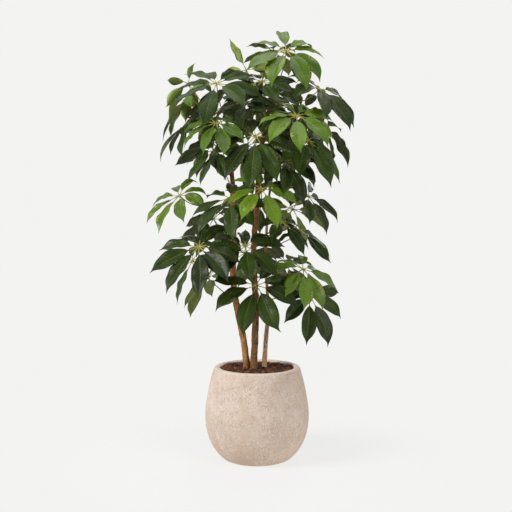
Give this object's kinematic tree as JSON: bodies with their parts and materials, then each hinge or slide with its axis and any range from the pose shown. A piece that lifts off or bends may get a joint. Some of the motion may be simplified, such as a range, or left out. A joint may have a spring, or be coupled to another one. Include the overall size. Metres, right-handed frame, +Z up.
{
  "type": "potted umbrella plant",
  "caption": "Tall house plant with woody stems and palmate leaves that hang like umbrellas, growing in soil in a round stone-look planter.",
  "frame": {"origin": "centre of the planter's flat foot, on the surface it stands on", "axes": "+Z up the plant, -Y its front, +X to the right seen from the front"},
  "size_m": [0.7998, 0.6534, 1.6625],
  "materials": {
    "pot_stone": "matte beige stone composite, mottled and lightly pitted",
    "potting_soil": "dark loose bark and coir",
    "stem_bark": "tan to grey-brown bark, rough",
    "mature_leaf": "dark green, soft gloss",
    "young_leaf": "bright green, soft gloss"
  },
  "bodies": {
    "root": {"pot": "pot_stone", "potting_soil": "potting_soil", "stem_left": "stem_bark", "stem_middle": "stem_bark", "stem_right": "stem_bark", "leaf_01": "young_leaf", "leaf_02": "mature_leaf", "leaf_03": "young_leaf", "leaf_04": "mature_leaf", "leaf_05": "mature_leaf", "leaf_06": "young_leaf", "leaf_07": "young_leaf", "leaf_08": "mature_leaf", "leaf_09": "mature_leaf", "leaf_10": "mature_leaf", "leaf_11": "mature_leaf", "leaf_12": "young_leaf", "leaf_13": "mature_leaf", "leaf_14": "mature_leaf", "leaf_15": "mature_leaf", "leaf_16": "mature_leaf", "leaf_17": "young_leaf", "leaf_18": "young_leaf", "leaf_19": "young_leaf", "leaf_20": "mature_leaf", "leaf_21": "mature_leaf", "leaf_22": "mature_leaf", "leaf_23": "mature_leaf", "leaf_24": "mature_leaf", "leaf_25": "young_leaf", "leaf_26": "mature_leaf", "leaf_27": "mature_leaf", "leaf_28": "mature_leaf", "leaf_29": "mature_leaf", "leaf_30": "young_leaf", "leaf_31": "mature_leaf", "leaf_32": "mature_leaf", "leaf_33": "mature_leaf", "leaf_34": "young_leaf", "leaf_35": "mature_leaf", "leaf_36": "mature_leaf", "leaf_37": "mature_leaf", "leaf_38": "mature_leaf", "leaf_39": "mature_leaf", "leaf_40": "young_leaf", "leaf_41": "mature_leaf", "leaf_42": "mature_leaf", "leaf_43": "young_leaf"}
  },
  "joints": []
}
